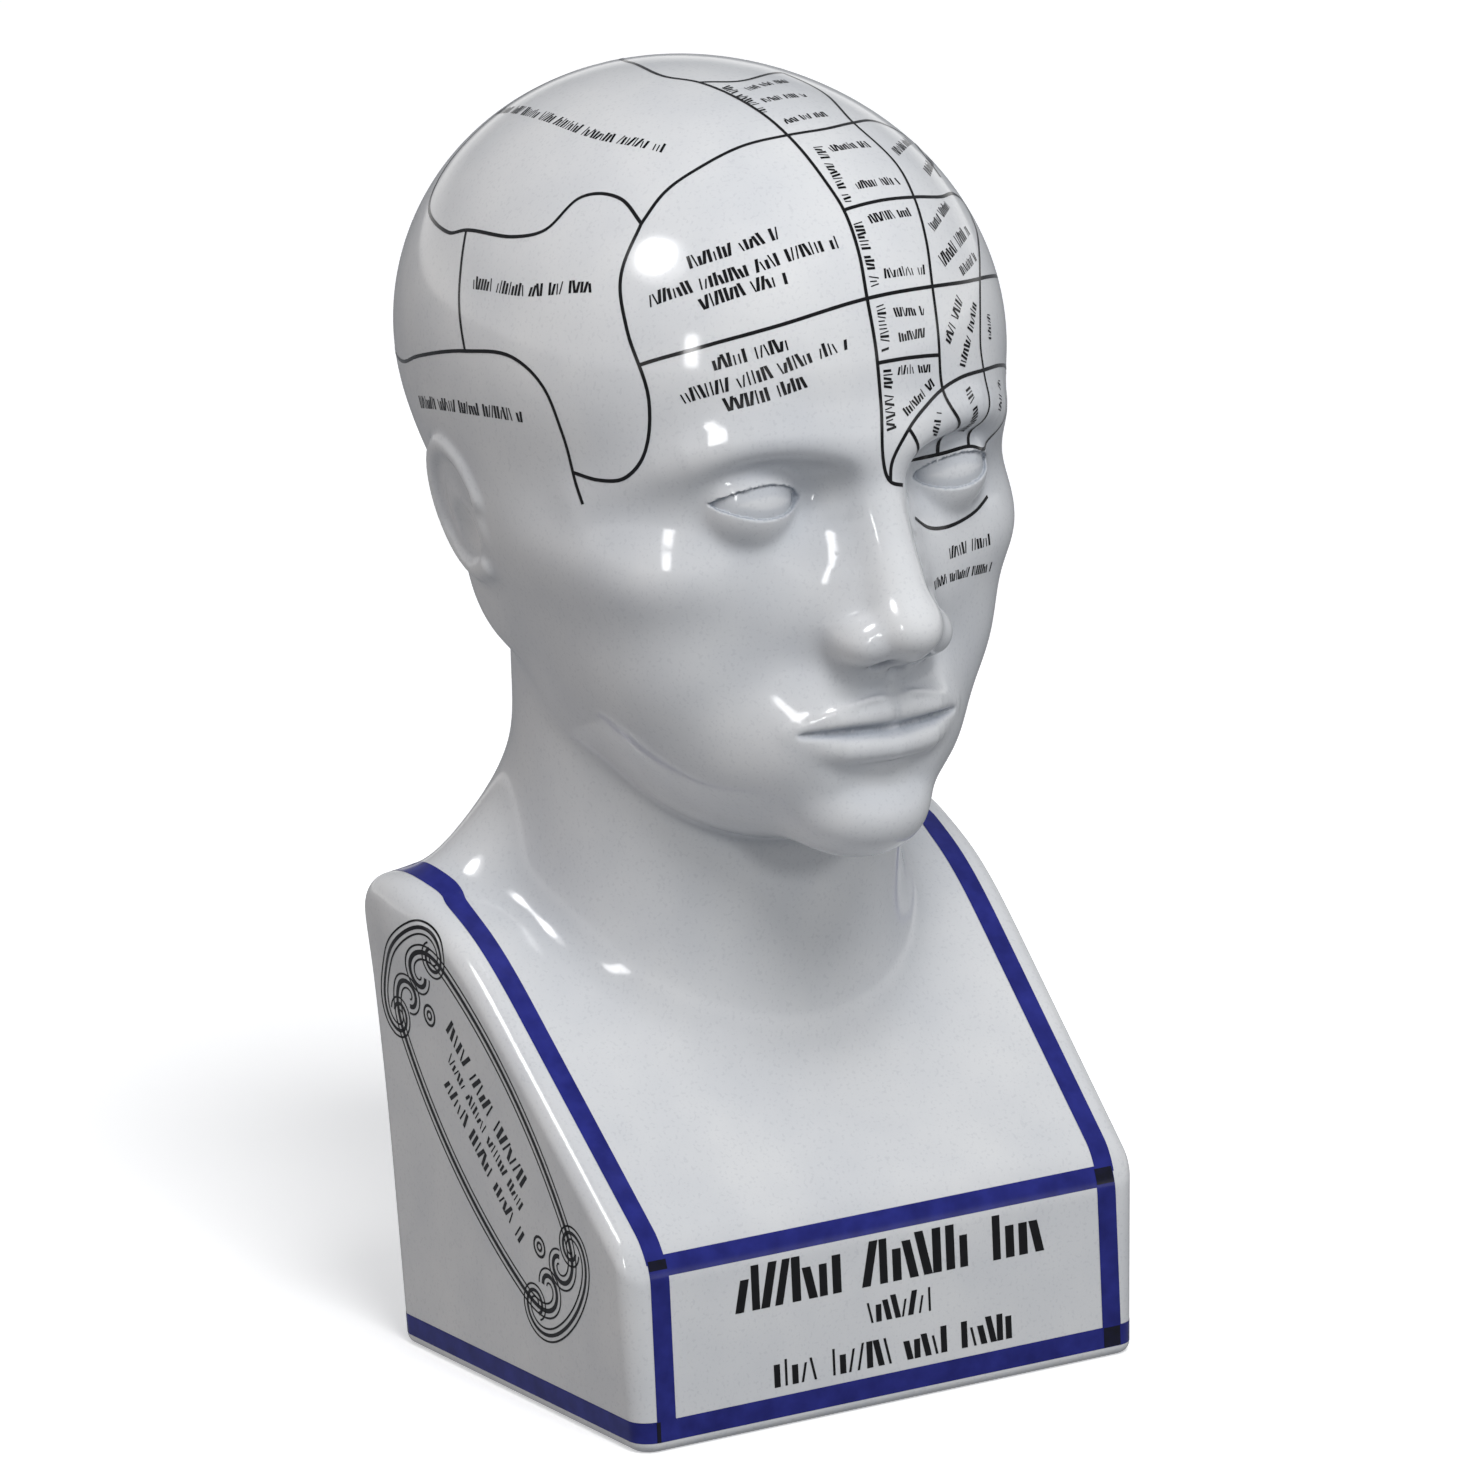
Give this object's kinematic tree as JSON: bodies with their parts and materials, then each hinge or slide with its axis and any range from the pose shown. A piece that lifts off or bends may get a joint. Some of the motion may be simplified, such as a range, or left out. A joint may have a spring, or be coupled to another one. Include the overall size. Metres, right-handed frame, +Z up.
{
  "type": "phrenology head",
  "caption": "Bald human head on a wedge-shaped shoulder block, in white glazed ceramic, with thin printed region lines over the skull and wide blue bands along the block's edges.",
  "frame": {"origin": "middle of the flat underside of the shoulder block", "axes": "+Z up from the underside to the crown, -Y the way the face looks, +X the figure's left"},
  "size_m": [0.1444, 0.176, 0.2967],
  "materials": {
    "white_glaze": "high gloss",
    "cobalt_print": "gloss, printed under the glaze",
    "black_print": "gloss, printed under the glaze"
  },
  "bodies": {
    "root": {"phrenology_bust": "white_glaze"}
  },
  "joints": []
}
